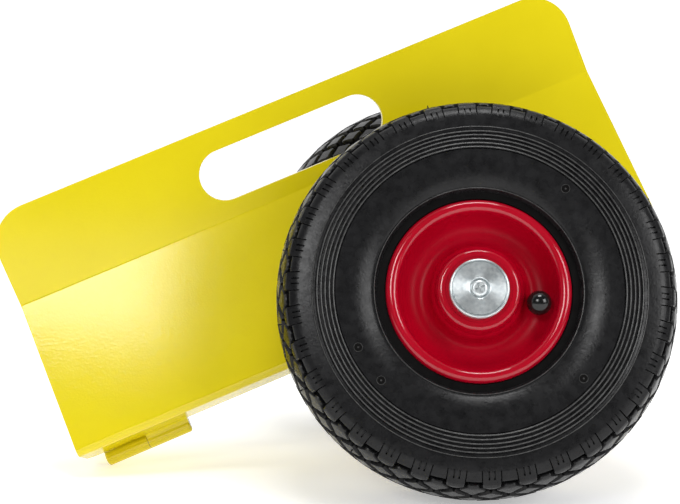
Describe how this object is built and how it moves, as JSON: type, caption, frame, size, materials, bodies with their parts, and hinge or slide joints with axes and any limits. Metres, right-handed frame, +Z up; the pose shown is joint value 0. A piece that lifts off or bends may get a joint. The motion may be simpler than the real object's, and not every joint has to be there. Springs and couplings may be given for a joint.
{
  "type": "panel dolly",
  "caption": "Self-clamping panel dolly: hinged folded-steel sides with hand slots pinch a board's edge between them and run on pneumatic wheels with pressed steel rims.",
  "frame": {"origin": "on the floor, under the middle of the closed dolly's box", "axes": "+X horizontal, along the plates from the low long end to the raised short end; +Y across, from the right half to the left half; +Z up"},
  "size_m": [0.4616, 0.3326, 0.33],
  "materials": {
    "yellow_paint": "glossy yellow powder coat with fine orange peel",
    "red_paint": "glossy deep red paint on pressed steel",
    "tyre_rubber": "black moulded rubber, satin sidewall and dull tread",
    "tube_rubber": "matt black butyl",
    "zinc": "bright zinc plate with faint turning marks",
    "steel": "bare ground steel, lightly oiled",
    "cage_plastic": "natural nylon",
    "valve_brass": "turned brass",
    "black_plastic": "glossy black moulded cap"
  },
  "bodies": {
    "right_half": {"right_side_plate": "yellow_paint", "right_axle": "steel", "right_axle_spacer": "zinc", "right_axle_cap": "zinc", "right_cap_screw": "zinc", "low_hinge_pin": "steel", "high_hinge_pin": "steel"},
    "left_half": {"left_side_plate": "yellow_paint", "left_axle": "steel", "left_axle_spacer": "zinc", "left_axle_cap": "zinc", "left_cap_screw": "zinc"},
    "right_wheel": {"right_tyre": "tyre_rubber", "right_inner_tube": "tube_rubber", "right_rim_outer": "red_paint", "right_rim_inner": "red_paint", "right_hub_tube": "red_paint", "right_outer_roller_cage": "cage_plastic", "right_outer_rollers": "steel", "right_inner_roller_cage": "cage_plastic", "right_inner_rollers": "steel", "right_valve_stem": "valve_brass", "right_valve_cap": "black_plastic"},
    "left_wheel": {"left_tyre": "tyre_rubber", "left_inner_tube": "tube_rubber", "left_rim_outer": "red_paint", "left_rim_inner": "red_paint", "left_hub_tube": "red_paint", "left_outer_roller_cage": "cage_plastic", "left_outer_rollers": "steel", "left_inner_roller_cage": "cage_plastic", "left_inner_rollers": "steel", "left_valve_stem": "valve_brass", "left_valve_cap": "black_plastic"}
  },
  "joints": [
    {"name": "clamp_hinge", "type": "hinge", "parent": "right_half", "child": "left_half", "pos_m": [0.03263, 0, 0.08216], "axis": [-0.9273, 0, -0.3744], "range_deg": [0, 45]},
    {"name": "right_wheel_spin", "type": "hinge", "parent": "right_half", "child": "right_wheel", "pos_m": [0.08848, -0.09088, 0.12812], "axis": [-0.1216, -0.9458, 0.3012], "continuous": true},
    {"name": "left_wheel_spin", "type": "hinge", "parent": "left_half", "child": "left_wheel", "pos_m": [0.08848, 0.09088, 0.12812], "axis": [-0.1216, 0.9458, 0.3012], "continuous": true}
  ]
}
